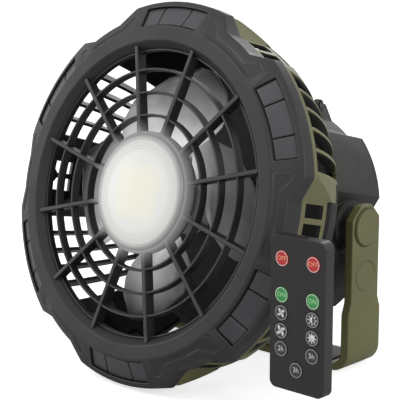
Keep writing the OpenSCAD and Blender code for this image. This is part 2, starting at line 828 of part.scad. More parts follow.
module impeller() color("#9a9b9c") axial() {
    difference() {
        union() {
            rotate_extrude() polygon([
                [0, -hub_front], [hub_r - 5, -hub_front], [hub_r - 1, -hub_front - 1.5], [hub_r, -hub_front - 5],
                [hub_r, -hub_back], [hub_r - hub_wall, -hub_back], [hub_r - hub_wall, -hub_front - 6],
                [hub_r - 6, -hub_front - 3], [0, -hub_front - 3]
            ]);
            tube(hub_front, hub_back - 4, 5);
        }
        tube(hub_front - 1, hub_back, shaft_r + press_fit);
    }
    for (k = [0 : blades - 1]) rotate([0, 0, blade_phase + k * 360 / blades]) blade();
}

module motor_shaft() color(steel) axial() tube(hub_front - 1, motor_end - 5, shaft_r);

module hub_cap() color(black) axial() difference() {
    rotate_extrude() polygon([
        [0, -hub_front], [7, -hub_front], [7, 1 - hub_front], [5.5, 2.2 - hub_front], [0, 2.6 - hub_front]
    ]);
    tube(hub_front - 1, hub_front + 1, shaft_r + press_fit);
}

// ---- Remote ----

// Plate in the remote's plane, from y1 to y2 behind its front
module card(y1, y2) translate(remote_at) translate([0, y2, 0]) rotate([90, 0, 0]) linear_extrude(y2 - y1) children();

function key_pos(k) = [k[1] * key_x, remote_h - key_top - k[2] * key_pitch];

module remote_outline(inset = 0) translate([0, inset])
    rounded_square(remote_w - 2 * inset, remote_h - 2 * inset, remote_corner - inset);

// The infrared window, between two heights
module eye(z1, z2, grow = 0)
    card(remote_board_y + remote_board_t + 0.2 - grow, remote_t - remote_wall - 0.2 + grow)
        translate([-eye_w / 2 - grow, z1]) square([eye_w + 2 * grow, z2 - z1]);

module remote_shell() color(black) difference() {
    card(face_t, remote_t) remote_outline();
    card(face_t - 1, remote_t - remote_wall) remote_outline(remote_wall);
    card(tray_y - 0.1, remote_t - remote_wall) translate([-tray_w / 2 - 0.1, -1]) square([tray_w + 0.2, 4]);
    eye(remote_h - 3, remote_h + 2, press_fit);
}

module remote_face() color("#333436") card(0, face_t) difference() {
    remote_outline();
    for (k = KEYS) translate(key_pos(k)) circle(r = key_r + key_gap);
}

module remote_key(k) color(k[2] == 0 ? "#c8382f" : k[2] == 2 ? "#3f9a4e" : "#3a3b3d") {
    card(-key_proud, face_t + key_gap) translate(key_pos(k)) circle(r = key_r);
    card(face_t + key_gap, face_t + key_gap + key_flange_t) translate(key_pos(k)) circle(r = key_r + key_flange);
}

module remote_board() color("#2f5d3a") card(remote_board_y, remote_board_y + remote_board_t)
    translate([0, remote_wall + 0.1])
        rounded_square(remote_w - 2 * remote_wall - 0.2, remote_h - 2 * remote_wall - 0.2, remote_corner - remote_wall);

module remote_eye() color("#2a1f33") eye(remote_h - 6, remote_h + 0.4);

module remote_tray() color(black) difference() {
    card(tray_y, remote_t - remote_wall - 0.1) union() {
        translate([-tray_w / 2, 0]) square([tray_w, tray_len]);
        translate([-tray_w / 2, -0.8]) square([tray_w, 1]);
    }
    card(tray_y - 1, remote_t - remote_wall - 0.4) translate([0, 12.4]) circle(r = coin_r + 0.1);
}

module remote_cell() color(steel) card(tray_y, tray_y + coin_t) translate([0, 12.4]) circle(r = coin_r);

// ---- Parts ----

bracket();
base_insert();
pivot_bolts();
pivot_nuts();
pivot_caps();
friction_washers();
front_bezel();
window_pads();
front_grille();
lamp_housing();
lamp_lens();
lamp_board();
lamp_emitter();
vent_shell();
vent_struts();
shell_screws();
rear_housing();
rear_cover();
cover_screws();
motor_can();
motor_screws();
battery_tray();
battery_cells();
control_board();
board_switches();
charge_port();
output_port();
charge_lights();
port_flap();
fan_button();
lamp_button();
hook();
impeller();
motor_shaft();
hub_cap();
remote_shell();
remote_face();
remote_board();
remote_eye();
remote_tray();
remote_cell();
for (k = KEYS) remote_key(k);
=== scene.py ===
"""Looks for the portable camping fan: finishes for the CAD parts, and the fine pieces on top of them."""

import math

import bmesh
import bpy
from mathutils import Matrix, Vector


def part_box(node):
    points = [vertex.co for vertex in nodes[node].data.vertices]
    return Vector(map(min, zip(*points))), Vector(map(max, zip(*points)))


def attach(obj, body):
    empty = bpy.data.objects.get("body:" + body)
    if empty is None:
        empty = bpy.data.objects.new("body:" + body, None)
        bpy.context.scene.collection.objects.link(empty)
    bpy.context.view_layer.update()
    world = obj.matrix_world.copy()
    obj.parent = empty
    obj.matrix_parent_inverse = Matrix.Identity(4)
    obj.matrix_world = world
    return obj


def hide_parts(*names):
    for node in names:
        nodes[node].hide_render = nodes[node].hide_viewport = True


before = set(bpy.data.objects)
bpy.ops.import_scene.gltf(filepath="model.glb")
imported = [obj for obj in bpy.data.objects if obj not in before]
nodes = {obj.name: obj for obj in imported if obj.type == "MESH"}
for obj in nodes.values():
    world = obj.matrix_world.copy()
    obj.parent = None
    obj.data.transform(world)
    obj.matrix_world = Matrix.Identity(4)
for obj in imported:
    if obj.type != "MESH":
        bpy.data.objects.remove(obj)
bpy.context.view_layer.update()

# Sizes below are in millimetres unless a name or a comment says otherwise
MM = 0.001
# Corners closer than this are one corner
MERGE = 0.002 * MM

# ---- Frames of the object, in metres -----------------------------------------------------

TILT = math.radians(13.5)
PIVOT_DEPTH = 107.5
HEAD_DEPTH = 133.5
pivot_low, pivot_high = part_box("pivot_caps")
PIVOT_HEIGHT = (pivot_low.z + pivot_high.z) / 2

# The head's own frame: origin on the pivot, turned back by the tilt
HEAD = Matrix.Translation((0, 0, PIVOT_HEIGHT)) @ Matrix.Rotation(-TILT, 4, "X")
# The blowing axis: +Z points forward out of the grille, z = -depth behind the bezel's crest
AXIAL = HEAD @ Matrix.Translation((0, -PIVOT_DEPTH * MM, 0)) @ Matrix.Rotation(math.pi / 2, 4, "X")
# Looking at the rear cover from behind: X to the viewer's right, Z out of the cover
REAR = AXIAL @ Matrix.Translation((0, 0, -HEAD_DEPTH * MM)) @ Matrix.Rotation(math.pi, 4, "Y")

# ---- Camera ------------------------------------------------------------------------------

CAM_AZIMUTH = math.radians(42.75)
CAM_ELEVATION = math.radians(11.43)
CAM_PLACE = Vector((534.6, -632.4, 257.6)) * MM
CAM_LENS = 122.83
CAM_SENSOR = 36


def make_camera():
    """The photograph's camera."""
    data = bpy.data.cameras.new("camera")
    data.sensor_fit = "HORIZONTAL"
    data.sensor_width = CAM_SENSOR
    data.lens = CAM_LENS
    data.clip_start = 0.01
    camera = bpy.data.objects.new("camera", data)
    bpy.context.scene.collection.objects.link(camera)
    towards = Vector(
        (
            -math.sin(CAM_AZIMUTH) * math.cos(CAM_ELEVATION),
            math.cos(CAM_AZIMUTH) * math.cos(CAM_ELEVATION),
            -math.sin(CAM_ELEVATION),
        )
    )
    camera.location = CAM_PLACE
    camera.rotation_euler = towards.to_track_quat("-Z", "Y").to_euler()
    bpy.context.scene.camera = camera


make_camera()

# ---- Material helpers --------------------------------------------------------------------


def linear(hex_colour):
    """sRGB hex to linear RGBA."""
    out = []
    for i in (0, 2, 4):
        c = int(hex_colour[i : i + 2], 16) / 255
        out.append(c / 12.92 if c <= 0.04045 else ((c + 0.055) / 1.055) ** 2.4)
    return (*out, 1.0)


def shade(colour, factor):
    """A colour made darker or lighter."""
    return tuple(min(1.0, c * factor) for c in colour[:3]) + (1.0,)


def blotch(size_mm):
    """The noise scale whose blotches are about size_mm across."""
    return 0.5 / (size_mm * MM)


def add(tree, kind, inputs=(), **settings):
    """Adds a shader node. inputs are values or other nodes' outputs, by socket or in order.
    settings are the node's own properties."""
    node = tree.nodes.new("ShaderNode" + kind)
    for key, value in settings.items():
        setattr(node, key, value)
    for key, value in inputs.items() if isinstance(inputs, dict) else enumerate(inputs):
        if isinstance(value, bpy.types.NodeSocket):
            tree.links.new(value, node.inputs[key])
        else:
            node.inputs[key].default_value = value
    return node


def new_material(name, values=None):
    """A material with one Principled shader. values sets the shader's own sockets."""
    material = bpy.data.materials.new(name)
    material.use_nodes = True
    tree = material.node_tree
    tree.nodes.clear()
    shader = add(tree, "BsdfPrincipled", values or {})
    add(tree, "OutputMaterial", (shader.outputs[0],))
    return material, tree, shader


def tone(tree, height, low, high, first, second, most=1.0):
    """A colour that goes from the first towards the second as a pattern's height goes from low to high."""
    share = add(tree, "MapRange", (height, low, high, 0.0, most)).outputs[0]
    return add(tree, "Mix", {0: share, 6: first, 7: second}, data_type="RGBA").outputs[2]


def broken_edges(tree, width_mm):
    """The normal over an edge broken by width_mm, and how well it keeps to the face: 1 away from edges."""
    edge = add(tree, "Bevel", {"Radius": width_mm * MM}, samples=6).outputs["Normal"]
    flat = add(tree, "NewGeometry").outputs["Normal"]
    keeps = add(tree, "VectorMath", (edge, flat), operation="DOT_PRODUCT").outputs["Value"]
    return edge, keeps


def head_place(tree, place):
    """A place in the head's blowing frame: X and Y across the grille, Z forward."""
    back = AXIAL.inverted()
    inputs = {"Vector": place, "Location": back.translation, "Rotation": back.to_euler()}
    return add(tree, "Mapping", inputs).outputs[0]


def from_axis(tree, local):
    """The distance from the fan's axis, and the direction away from it."""
    flat = add(tree, "VectorMath", (local, (1, 1, 0)), operation="MULTIPLY").outputs[0]
    radius = add(tree, "VectorMath", (flat,), operation="LENGTH").outputs["Value"]
    away = add(tree, "VectorMath", (flat,), operation="NORMALIZE").outputs[0]
    return radius, away


# The lamp's glow, painted on what stands round it, is a trace warmer than white
GLOW_BLUE = 0.98
# The direction across the grille to the bracket arm in view, and where the painted shade on that side begins and
# ends
ARM_SIDE = (1, -0.25, 0)
ARM_SHADE = (12, 36)
# Towards the middle, behind the lamp's housing, the painted glow fades over this width to this share, as a
# painted shadow of the housing
HIDDEN_FADE = 6
HIDDEN_SHARE = 0.1


def paint_lamp_glow(
    material, near_mm, far_mm, level, power=2.0, cloud_mm=0, shaded_side=1.0, hidden_mm=0, deep_mm=0
):
    """The lamp is lit, so a soft glow is painted as emission on what stands round it, full at near_mm from the
    axis and gone at far_mm. In a clouded plastic it is uneven by blotches of cloud_mm. shaded_side is the share
    that is left on the bracket arm's side, a painted shade. Inside hidden_mm the glow falls away as a painted
    shadow of the lamp's own housing, and it fades out deep_mm behind the bezel's crest."""
    tree = material.node_tree
    shader = next(n for n in tree.nodes if n.type == "BSDF_PRINCIPLED")
    place = add(tree, "TexCoord").outputs["Object"]
    local = head_place(tree, place)
    radius, _ = from_axis(tree, local)
    share = add(tree, "MapRange", (radius, far_mm * MM, near_mm * MM)).outputs[0]
    glow = add(tree, "Math", (share, power), operation="POWER").outputs[0]
    masks = []
    if cloud_mm:
        pattern = {"Vector": place, "Scale": blotch(cloud_mm), "Detail": 3.0}
        clouds = add(tree, "TexNoise", pattern).outputs["Fac"]
        masks.append(add(tree, "MapRange", (clouds, 0.35, 0.65, 0.45, 1.0)))
    if shaded_side < 1:
        aside = add(tree, "VectorMath", (local, ARM_SIDE), operation="DOT_PRODUCT").outputs["Value"]
        start, end = ARM_SHADE
        masks.append(add(tree, "MapRange", (aside, start * MM, end * MM, 1.0, shaded_side)))
    if hidden_mm:
        fade = (radius, (hidden_mm - HIDDEN_FADE) * MM, hidden_mm * MM, HIDDEN_SHARE, 1.0)
        masks.append(add(tree, "MapRange", fade))
    if deep_mm:
        depth = add(tree, "SeparateXYZ", (local,)).outputs["Z"]
        masks.append(add(tree, "MapRange", (depth, -deep_mm * MM, 0)))
    for mask in masks:
        glow = add(tree, "Math", (glow, mask.outputs[0]), operation="MULTIPLY").outputs[0]
    light = (level, level, level * GLOW_BLUE, 1)
    tint = add(tree, "Mix", {0: glow, 6: (0, 0, 0, 1), 7: light}, data_type="RGBA").outputs[2]
    tree.links.new(tint, shader.inputs["Emission Color"])
    shader.inputs["Emission Strength"].default_value = 1.0
    return material


# Moulded plastic: the width of the melt's clouds, of worn patches and of glossier patches, and the
# grain's depth
CLOUD_MM = 22
WORN_MM = 5
GLOSS_MM = 9
GRAIN_DEPTH = 0.06
# Glossier patches move the roughness this much either way, and a rubbed edge is smoother by the polish
GLOSS_SWING = 0.06
POLISH = 0.12
# The pale edge, partly wear and partly painted highlight, begins where the broken edge has turned by 5 degrees
# and is full at 20: the cosines of both
WEAR_AND_HIGHLIGHT_TURN = (0.996, 0.94)


def moulded(
    name, colour, roughness, grain_mm=0.5, relief=0.25, wear_and_highlight=1.6, cloud=0.1, edge_mm=0.5, values=None
):
    """Moulded plastic. The tool's eroded texture gives the grain, handling polishes the edges, which are paled by
    wear and by a painted highlight, and the melt leaves a faint cloud in the colour. The grain is drawn coarser
    than real so that it shows."""
    material, tree, shader = new_material(name, {"IOR": 1.53, **(values or {})})
    place = add(tree, "TexCoord").outputs["Object"]
    base = linear(colour)

    clouds = add(tree, "TexNoise", {"Vector": place, "Scale": blotch(CLOUD_MM), "Detail": 3.0}).outputs["Fac"]
    blush = tone(tree, clouds, 0.3, 0.7, shade(base, 1 - cloud), shade(base, 1 + cloud))

    edge, keeps = broken_edges(tree, edge_mm)
    on_edge = add(tree, "MapRange", (keeps, *WEAR_AND_HIGHLIGHT_TURN)).outputs[0]
    patches = add(tree, "TexNoise", {"Vector": place, "Scale": blotch(WORN_MM), "Detail": 4.0}).outputs["Fac"]
    uneven = add(tree, "MapRange", (patches, 0.35, 0.6, 0.35, 1.0)).outputs[0]
    rub_and_highlight = add(tree, "Math", (on_edge, uneven), operation="MULTIPLY").outputs[0]
    # The edges are paled: partly wear, partly a painted highlight
    worn_and_highlit = add(tree, "Mix", {0: rub_and_highlight, 6: blush, 7: shade(base, wear_and_highlight)}, data_type="RGBA").outputs[2]
    tree.links.new(worn_and_highlit, shader.inputs["Base Color"])

    gloss = add(tree, "TexNoise", {"Vector": place, "Scale": blotch(GLOSS_MM), "Detail": 4.0}).outputs["Fac"]
    satin = add(tree, "MapRange", (gloss, 0.3, 0.7, roughness - GLOSS_SWING, roughness + GLOSS_SWING))
    polished = (rub_and_highlight, -POLISH, satin.outputs[0])
    tree.links.new(add(tree, "Math", polished, operation="MULTIPLY_ADD").outputs[0], shader.inputs["Roughness"])

    pattern = {"Vector": place, "Scale": blotch(grain_mm), "Detail": 2.0, "Roughness": 0.6}
    grain = add(tree, "TexNoise", pattern).outputs["Fac"]
    relief_of = {"Height": grain, "Strength": relief, "Distance": GRAIN_DEPTH * MM, "Normal": edge}
    tree.links.new(add(tree, "Bump", relief_of).outputs["Normal"], shader.inputs["Normal"])
    return material


def metal(name, colour, roughness, brushed=(1, 1, 1), streak_mm=0.3, relief=0.2):
    """Metal with a drawn or brushed finish. The streaks run along the axis whose share in brushed is small,
    and are drawn coarser than real so that they show. Handling leaves faint stains about 7 mm across."""
    material, tree, shader = new_material(name, {"Metallic": 1.0})
    place = add(tree, "TexCoord").outputs["Object"]
    drawn = add(tree, "Mapping", {"Vector": place, "Scale": brushed}).outputs[0]
    streaks = add(tree, "TexNoise", {"Vector": drawn, "Scale": blotch(streak_mm), "Detail": 3.0}).outputs["Fac"]
    stain = add(tree, "TexNoise", {"Vector": place, "Scale": blotch(7), "Detail": 3.0}).outputs["Fac"]
    base = linear(colour)
    tree.links.new(tone(tree, stain, 0.35, 0.7, base, shade(base, 0.82)), shader.inputs["Base Color"])
    matt = add(tree, "MapRange", (streaks, 0.3, 0.7, roughness - 0.08, roughness + 0.1)).outputs[0]
    tree.links.new(matt, shader.inputs["Roughness"])
    bump = add(tree, "Bump", {"Height": streaks, "Strength": relief, "Distance": 0.02 * MM})
    tree.links.new(bump.outputs["Normal"], shader.inputs["Normal"])
    return material


def printed(name, colour):
    """Screen-printed ink: flat and even, slightly thin in places, so the tone dips a little."""
    material, tree, shader = new_material(name, {"Roughness": 0.45})
    place = add(tree, "TexCoord").outputs["Object"]
    base = linear(colour)
    film = add(tree, "TexNoise", {"Vector": place, "Scale": blotch(0.8), "Detail": 3.0}).outputs["Fac"]
    tree.links.new(tone(tree, film, 0.3, 0.7, shade(base, 0.85), base), shader.inputs["Base Color"])
    return material


# ---- Finishes ----------------------------------------------------------------------------

# ABS from a spark-eroded tool: the bezel and the rear cover look charcoal and dry, with pale rims, partly wear
# and partly painted highlight
charcoal = moulded(
    "abs_charcoal_spark_eroded", "202021", 0.52, wear_and_highlight=5.0, edge_mm=1.0, values={"Specular IOR Level": 0.34}
)
# The battery housing's tool is coarser, so it looks flatter and a little browner than the bezel
housing_abs = moulded(
    "abs_charcoal_housing_coarse", "22211f", 0.58, grain_mm=0.6, relief=0.3, wear_and_highlight=3.0,
    values={"Specular IOR Level": 0.4},
)
# The grille is blacker, and its thin bars show only a fine pale edge, partly wear and partly painted highlight
grille_black = moulded("abs_black_grille_moulded", "0e0e0d", 0.5, edge_mm=0.35, wear_and_highlight=5.0)
# The pads in the windows are smoother, so they look a little bluer and catch a soft sheen; their rims are paled,
# partly wear and partly painted highlight
pad_abs = moulded("abs_pad_satin_moulded", "303034", 0.38, relief=0.12, wear_and_highlight=4.0, edge_mm=0.9)
# ABS, dull olive: an even satin, a little paler along its rims, partly wear and partly painted highlight
olive = moulded("abs_olive_satin_moulded", "5d5c37", 0.46, grain_mm=0.4, wear_and_highlight=1.45)
# The same olive on the vent shell, whose inside is painted near black further down as shade
vent_olive = moulded("abs_olive_vent_painted_shade_inside", "5d5c37", 0.46, grain_mm=0.4, wear_and_highlight=1.45)
# Struts and inner trays: black polypropylene, waxy and dark
inner_black = moulded(
    "polypropylene_black_moulded", "0f0f10", 0.6, relief=0.15, wear_and_highlight=1.5, values={"Specular IOR Level": 0.18}
)
# Thermoplastic rubber pad on the base: matt grey with a dusty bloom
grey_pad = moulded("thermoplastic_rubber_grey", "72726f", 0.75, relief=0.4, cloud=0.16)
# Washers that brake the pivots: dull black rubber
washer_rubber = moulded("nitrile_rubber_moulded", "1c1c1c", 0.7, relief=0.3)
# Rear buttons and flap: silicone, soft to the eye, with a faint sheen at the rims
soft_dark = moulded(
    "silicone_dark_moulded", "2b2b2d", 0.62, relief=0.1, wear_and_highlight=1.3, values={"Sheen Weight": 0.15}
)
soft_light = moulded(
    "silicone_ivory_moulded", "cfcbbb", 0.6, relief=0.1, wear_and_highlight=1.05, values={"Sheen Weight": 0.1}
)
# Lamp ring: dark grey ABS, smoother than the bezel; the lens's glow on its rim is painted on as emission
lamp_grey = moulded("abs_grey_lamp_ring", "3c3c3c", 0.35, relief=0.1)
# Remote: fine ABS back and a satin polyester face film
remote_abs = moulded("abs_remote_fine_moulded", "171719", 0.42, grain_mm=0.35, relief=0.18, wear_and_highlight=1.9)
face_film = moulded(
    "polyester_face_film", "141415", 0.36, grain_mm=0.3, relief=0.1, wear_and_highlight=3.0,
    values={"Specular IOR Level": 0.4},
)
# Keys: domed film over each switch, glossier than the face round it
key_red = moulded("key_red_domed_film", "b01c18", 0.34, relief=0.05, wear_and_highlight=1.25, edge_mm=0.2)
key_green = moulded("key_green_domed_film", "2f8a43", 0.34, relief=0.05, wear_and_highlight=1.25, edge_mm=0.2)
key_dark = moulded("key_black_domed_film", "2a2a2c", 0.34, relief=0.05, wear_and_highlight=1.4, edge_mm=0.2)
ink_white = printed("ink_white_screen_printed", "d2d2cf")
ink_grey = printed("ink_grey_screen_printed", "9d9d9b")
ink_amber = printed("ink_pale_amber_screen_printed", "e8a888")
ink_lime = printed("ink_pale_green_screen_printed", "a6d8a4")
# Lamp board: aluminium core under a white solder mask, so it throws the light forward
board_white = moulded(
    "aluminium_core_white_solder_mask", "dededa", 0.38, relief=0.05, wear_and_highlight=0.8, cloud=0.03
)
# Zinc-plated fasteners: bluish grey, faintly mottled
zinc = metal("steel_zinc_plated", "b4b6ba", 0.3)
# Motor can: drawn from sheet, so fine streaks run down its wall
can_steel = metal("steel_deep_drawn_can", "9fa0a3", 0.34, brushed=(1, 0.06, 0.06), streak_mm=0.5)
# Hook wire: dark plated, so its ends don't shine out of the lugs
plated_wire = metal("steel_wire_black_nickel", "6a6a6c", 0.2, brushed=(0.1, 1, 1), relief=0.08)
# Sockets: tinned sheet, a warm dull grey. The coin cell is nickel, the contacts gold.
tin = metal("steel_tinned_port_shell", "b9b7b2", 0.28, brushed=(1, 1, 0.1))
nickel = metal("nickel_plated_cap", "c2bfb6", 0.25)
gold = metal("gold_flashed_contact", "d8b25a", 0.22)

# The vent shell's outer wall: its radius and depth behind the crest at both ends, and how it curves in
SHELL_R = (109.5, 78)
SHELL_AT = (18, 80)
SHELL_CURVE = 2.2
# The painted shade begins this deep inside the outer wall, and is full a little deeper
SHADE_FROM = (2.6, 4.2)


def paint_shade_inside(material):
    """The vent shell's inside is painted near black as shade, so between its fins they show as dark bars."""
    tree = material.node_tree
    shader = next(n for n in tree.nodes if n.type == "BSDF_PRINCIPLED")
    space = add(tree, "TexCoord").outputs
    local = head_place(tree, space["Object"])
    radius, away = from_axis(tree, local)
    back = {"Vector": space["Normal"], "Rotation": AXIAL.inverted().to_euler()}
    facing = add(tree, "Mapping", back, vector_type="VECTOR").outputs[0]
    outward = add(tree, "VectorMath", (facing, away), operation="DOT_PRODUCT").outputs["Value"]

    # How far the point lies inside the outer wall, whose radius falls off towards the rear
    depth = add(tree, "SeparateXYZ", (local,)).outputs["Z"]
    share = add(tree, "MapRange", (depth, -SHELL_AT[0] * MM, -SHELL_AT[1] * MM)).outputs[0]
    fall = add(tree, "Math", (share, SHELL_CURVE), operation="POWER").outputs[0]
    rim = add(tree, "MapRange", (fall, 0, 1, SHELL_R[0] * MM, SHELL_R[1] * MM)).outputs[0]
    inset = add(tree, "Math", (rim, radius), operation="SUBTRACT").outputs[0]

    # Painted shade blackens the fins' flanks where they are deep enough, and all that faces inwards
    buried = add(tree, "MapRange", (inset, SHADE_FROM[0] * MM, SHADE_FROM[1] * MM)).outputs[0]
    flank = add(tree, "MapRange", (outward, 0.3, 0.1)).outputs[0]
    deep = add(tree, "Math", (buried, flank), operation="MULTIPLY").outputs[0]
    inner = add(tree, "MapRange", (outward, -0.1, -0.3)).outputs[0]
    painted_shade = add(tree, "Math", (deep, inner), operation="MAXIMUM").outputs[0]
    outside = shader.inputs["Base Color"].links[0].from_socket
    # The near black of the painted shade
    colours = {0: painted_shade, 6: outside, 7: linear("161614")}
    tree.links.new(add(tree, "Mix", colours, data_type="RGBA").outputs[2], shader.inputs["Base Color"])


paint_shade_inside(vent_olive)
# The lamp's glow, painted as emission on the grille's bars near the lens and on the lamp ring
paint_lamp_glow(grille_black, 29, 44, 0.6, deep_mm=11)
paint_lamp_glow(lamp_grey, 28.5, 37, 0.55, 1.6, deep_mm=12)

LENS_R = 29
LENS_RIM_FROM = 21
# Half the side of the cream square that the emitters throw on the lens
PATCH_HALF = 16.5


def lit_lens(name, strength):
    """Opal polycarbonate lit from behind: white all over, and a cream square where the emitters sit."""
    material, tree, shader = new_material(name, {"Base Color": linear("6e6e6c"), "Roughness": 0.3})
    place = add(tree, "TexCoord").outputs["Object"]
    local = head_place(tree, place)
    # A square with soft, rounded corners: the sum of the fourth powers of x and y
    powers = []
    for side in add(tree, "SeparateXYZ", (local,)).outputs[:2]:
        size = add(tree, "Math", (side,), operation="ABSOLUTE").outputs[0]
        share = add(tree, "Math", (size, PATCH_HALF * MM), operation="DIVIDE").outputs[0]
        powers.append(add(tree, "Math", (share, 4.0), operation="POWER").outputs[0])
    square = add(tree, "Math", powers, operation="ADD").outputs[0]
    middle = tone(tree, square, 1.6, 0.1, linear("e4e4e2"), linear("eeecdb"))
    radius, _ = from_axis(tree, local)
    lit = tone(tree, radius, LENS_RIM_FROM * MM, LENS_R * MM, middle, linear("d0d0ce"))
    tree.links.new(lit, shader.inputs["Emission Color"])
    shader.inputs["Emission Strength"].default_value = strength
    return material


# The blades darken between these radii, a painted shade of the bezel, and break their edges by this
BLADE_SHADE = (48, 70)
BLADE_EDGE = 0.7
BLADE_CLOUD_MM = 14


def smoked_blade():
    """Smoked translucent polypropylene, injection moulded: satin, lets some light through, shows the
    clouds of its flow, darkens towards the tips with a painted shade of the bezel, and has a painted highlight
    along its thin edges."""
    values = {"Transmission Weight": 0.22, "IOR": 1.5}
    material, tree, shader = new_material("polypropylene_smoked_translucent", values)
    place = add(tree, "TexCoord").outputs["Object"]
    flow = add(tree, "TexNoise", {"Vector": place, "Scale": blotch(BLADE_CLOUD_MM), "Detail": 3.0}).outputs["Fac"]
    radius, _ = from_axis(tree, head_place(tree, place))
    inner, outer = BLADE_SHADE
    shaded_smoke = tone(tree, radius, inner * MM, outer * MM, linear("828386"), linear("47474a"))
    body = tone(tree, flow, 0.3, 0.7, shaded_smoke, linear("55565a"), most=0.3)
    edge, keeps = broken_edges(tree, BLADE_EDGE)
    # A painted highlight along the blades' thin edges
    tree.links.new(tone(tree, keeps, 0.93, 0.75, body, linear("d4d5d6")), shader.inputs["Base Color"])
    matt = add(tree, "MapRange", (flow, 0.3, 0.7, 0.26, 0.36)).outputs[0]
    tree.links.new(matt, shader.inputs["Roughness"])
    tree.links.new(edge, shader.inputs["Normal"])
    return paint_lamp_glow(material, 30, 72, 0.68, 1.3, cloud_mm=16, shaded_side=0.15, hidden_mm=29)


def cloudy_clear(name, values, cloud_mm, first, second):
    """A clear plastic whose tint drifts a little between two tones."""
    material, tree, shader = new_material(name, values)
    place = add(tree, "TexCoord").outputs["Object"]
    cloud = add(tree, "TexNoise", {"Vector": place, "Scale": blotch(cloud_mm)}).outputs["Fac"]
    tint = tone(tree, cloud, 0.3, 0.7, linear(first), linear(second))
    tree.links.new(tint, shader.inputs["Base Color"])
    return material


def phosphor():
    """Chip-on-board emitter: yellow phosphor silicone with a faint grid of dies under it."""
    material, tree, shader = new_material("silicone_yellow_phosphor", {"Roughness": 0.45})
    place = add(tree, "TexCoord").outputs["Object"]
    # The dies stand 3.2 mm apart, and each is brightest over its middle
    pattern = {"Vector": place, "Scale": 1 / (3.2 * MM), "Randomness": 0.15}
    dies = add(tree, "TexVoronoi", pattern).outputs["Distance"]
    colours = (("Base Color", "efc63c", "d8a92c"), ("Emission Color", "fff0c0", "ffe6a0"))
    for socket, over_die, between in colours:
        tree.links.new(tone(tree, dies, 0.2, 0.5, linear(over_die), linear(between)), shader.inputs[socket])
    shader.inputs["Emission Strength"].default_value = 0.6
    return material


def solder_mask():
    """Fibreglass board under green solder mask: glossy, paler in the runs between its copper fields."""
    material, tree, shader = new_material("fibreglass_green_solder_mask", {"Roughness": 0.28})
    place = add(tree, "TexCoord").outputs["Object"]
    pattern = {"Vector": place, "Scale": 1 / (5 * MM), "Randomness": 0.8}
    runs = add(tree, "TexVoronoi", pattern, feature="DISTANCE_TO_EDGE", distance="MANHATTAN")
    green = tone(tree, runs.outputs["Distance"], 0.06, 0.09, linear("2f7a41"), linear("1d5530"))
    tree.links.new(green, shader.inputs["Base Color"])
    return material


def cell_wrap():
    """Shrink film on a round cell: blue, glossy, pulled into faint ripples along the cell."""
    material, tree, shader = new_material("pvc_shrink_film_blue", {"Roughness": 0.24, "IOR": 1.53})
    place = add(tree, "TexCoord").outputs["Object"]
    drawn = add(tree, "Mapping", {"Vector": place, "Scale": (0.12, 1, 1)}).outputs[0]
    ripple = add(tree, "TexNoise", {"Vector": drawn, "Scale": blotch(1.2)}).outputs["Fac"]
    blue = tone(tree, ripple, 0.35, 0.65, linear("2d5f98"), linear("3a70ab"))
    tree.links.new(blue, shader.inputs["Base Color"])
    bump = add(tree, "Bump", {"Height": ripple, "Strength": 0.25, "Distance": 0.05 * MM})
    tree.links.new(bump.outputs["Normal"], shader.inputs["Normal"])
    return material


lens_lit = lit_lens("polycarbonate_opal_lit", 0.75)
# The beads bend the light aside, so they read a little greyer than the lens between them
bead_lit = lit_lens("polycarbonate_opal_beads", 0.68)
blade_smoke = smoked_blade()
# Charge lights: frosted acrylic, pale, glassy, a little cloudy
guide = cloudy_clear(
    "acrylic_frosted_guide", {"Transmission Weight": 0.6, "IOR": 1.49, "Roughness": 0.28},
    0.6, "bccfd6", "d6e4e8",
)
emitter_yellow = phosphor()
board_green = solder_mask()
film_blue = cell_wrap()
# Remote's infrared window: deep violet polycarbonate, polished, nearly black to the eye
infrared = cloudy_clear(
    "polycarbonate_infrared_violet", {"Transmission Weight": 0.35, "IOR": 1.58, "Roughness": 0.08},
    1.5, "2a1433", "341a40",
)


def dress(finish, *names):
    """Gives CAD parts their finish."""
    for name in names:
        nodes[name].data.materials.clear()
        nodes[name].data.materials.append(finish)


dress(zinc, "pivot_bolts", "pivot_nuts", "shell_screws", "cover_screws", "motor_screws", "motor_shaft")
dress(board_white, "lamp_board")
dress(washer_rubber, "friction_washers")
dress(can_steel, "motor_can")
dress(plated_wire, "hook")
dress(tin, "charge_port", "output_port")
dress(inner_black, "battery_tray", "board_switches")
dress(board_green, "control_board", "remote_board")
dress(film_blue, "battery_cells")
dress(nickel, "remote_cell")
dress(lens_lit, "lamp_lens")
dress(emitter_yellow, "lamp_emitter")
dress(guide, "charge_lights")
dress(infrared, "remote_eye")
dress(remote_abs, "remote_shell")

# ---- Piece helpers -----------------------------------------------------------------------


def verts_in(geom):
    """The corners among what an operator gives back."""
    return [g for g in geom if isinstance(g, bmesh.types.BMVert)]


def once(items):
    """The items in their order, each of them once. A set would shuffle them from run to run."""
    return list(dict.fromkeys(items))


def make_piece(name, mesh, body, finish, place=None):
    """Turns a mesh drawn in a frame of its own into a piece that rides a body."""
    # Before the piece is placed, because in the tilted frame this turns some screw shanks inside out
    bmesh.ops.recalc_face_normals(mesh, faces=mesh.faces)
    if place is not None:
        mesh.transform(place)
    data = bpy.data.meshes.new(name)
    mesh.to_mesh(data)
    mesh.free()
    data.shade_smooth()
    data.materials.append(finish)
    piece = bpy.data.objects.new(name, data)
    bpy.context.scene.collection.objects.link(piece)
    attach(piece, body)
    return piece


